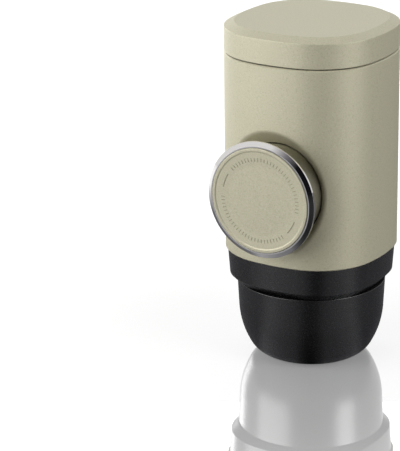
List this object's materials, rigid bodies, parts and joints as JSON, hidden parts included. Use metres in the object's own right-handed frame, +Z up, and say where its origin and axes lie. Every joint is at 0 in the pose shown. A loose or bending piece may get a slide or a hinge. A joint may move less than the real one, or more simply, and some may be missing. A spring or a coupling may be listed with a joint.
{
  "type": "handheld manual espresso maker",
  "caption": "Upright handheld coffee maker with a squarish sand-coloured body, a flat bevelled lid, a black collar, a round-bottomed outlet head and a ringed push knob on its front.",
  "frame": {"origin": "centre of the round foot, on the surface that the maker stands on", "axes": "+Z up along the body, -Y out of the front through the pump knob, +X to the right of someone who faces the knob"},
  "size_m": [0.06, 0.0687, 0.1275],
  "materials": {
    "sand_plastic": "fine speckled satin, sand colour",
    "black_plastic": "fine matte texture",
    "tank_plastic": "smooth satin, food-grade plastic",
    "pump_plastic": "smooth satin, natural acetal",
    "polished_steel": "polished stainless steel",
    "steel": "plain stainless steel",
    "spring_steel": "drawn stainless wire",
    "black_rubber": "nitrile rubber",
    "clear_silicone": "food-grade silicone"
  },
  "bodies": {
    "body": {"main_housing": "sand_plastic", "water_tank": "tank_plastic", "tank_seal": "clear_silicone", "inlet_strainer": "steel", "inlet_valve": "clear_silicone", "pump_cylinder": "pump_plastic", "rod_guide": "pump_plastic", "keeper_ring": "black_plastic", "pump_screws": "steel", "outlet_valve_cage": "pump_plastic", "outlet_valve_spring": "spring_steel", "brew_collar": "black_plastic", "needle_plate": "steel", "brew_gasket": "clear_silicone", "collar_screws": "steel", "return_spring": "spring_steel"},
    "piston": {"piston_rod": "pump_plastic", "piston_seal": "black_rubber", "knob_screw": "steel"},
    "knob": {"knob_shell": "sand_plastic", "knob_ring": "polished_steel", "knob_face": "sand_plastic"},
    "outlet_ball": {"outlet_ball": "steel"},
    "lid_seal": {"lid_seal": "black_rubber"},
    "lid": {"lid_cap": "sand_plastic", "lid_plug": "black_plastic", "lid_screws": "steel"},
    "capsule_holder": {"capsule_holder": "black_plastic"},
    "head_seal": {"head_seal": "black_rubber"},
    "outlet_head": {"outlet_bowl": "black_plastic", "extraction_plate": "steel", "plate_gasket": "clear_silicone", "spout_nozzle": "steel"}
  },
  "joints": [
    {"name": "piston_stroke", "type": "slide", "parent": "body", "child": "piston", "axis": [0, 1, 0], "range_m": [0, 0.0079], "stiffness_N_per_m": 970, "springref_m": -0.004, "deforming": ["return_spring"]},
    {"name": "knob_turn", "type": "hinge", "parent": "piston", "child": "knob", "pos_m": [0, -0.03, 0.0695], "axis": [0, 1, 0], "range_deg": [0, 60]},
    {"name": "outlet_ball_lift", "type": "slide", "parent": "body", "child": "outlet_ball", "axis": [0, 0, -1], "range_m": [0, 0.0012], "stiffness_N_per_m": 100, "springref_m": -0.001, "deforming": ["outlet_valve_spring"]},
    {"name": "lid_lift", "type": "slide", "parent": "body", "child": "lid_seal", "axis": [0, 0, 1], "range_m": [0, 0.05]},
    {"name": "lid_turn", "type": "hinge", "parent": "lid_seal", "child": "lid", "pos_m": [0, 0, 0.113], "axis": [0, 0, 1], "range_deg": [0, 120]},
    {"name": "holder_drop", "type": "slide", "parent": "body", "child": "capsule_holder", "axis": [0, 0, -1], "range_m": [0, 0.05]},
    {"name": "head_drop", "type": "slide", "parent": "capsule_holder", "child": "head_seal", "axis": [0, 0, -1], "range_m": [0, 0.05]},
    {"name": "head_turn", "type": "hinge", "parent": "head_seal", "child": "outlet_head", "pos_m": [0, 0, 0.0354], "axis": [0, 0, 1], "range_deg": [0, 120]}
  ]
}
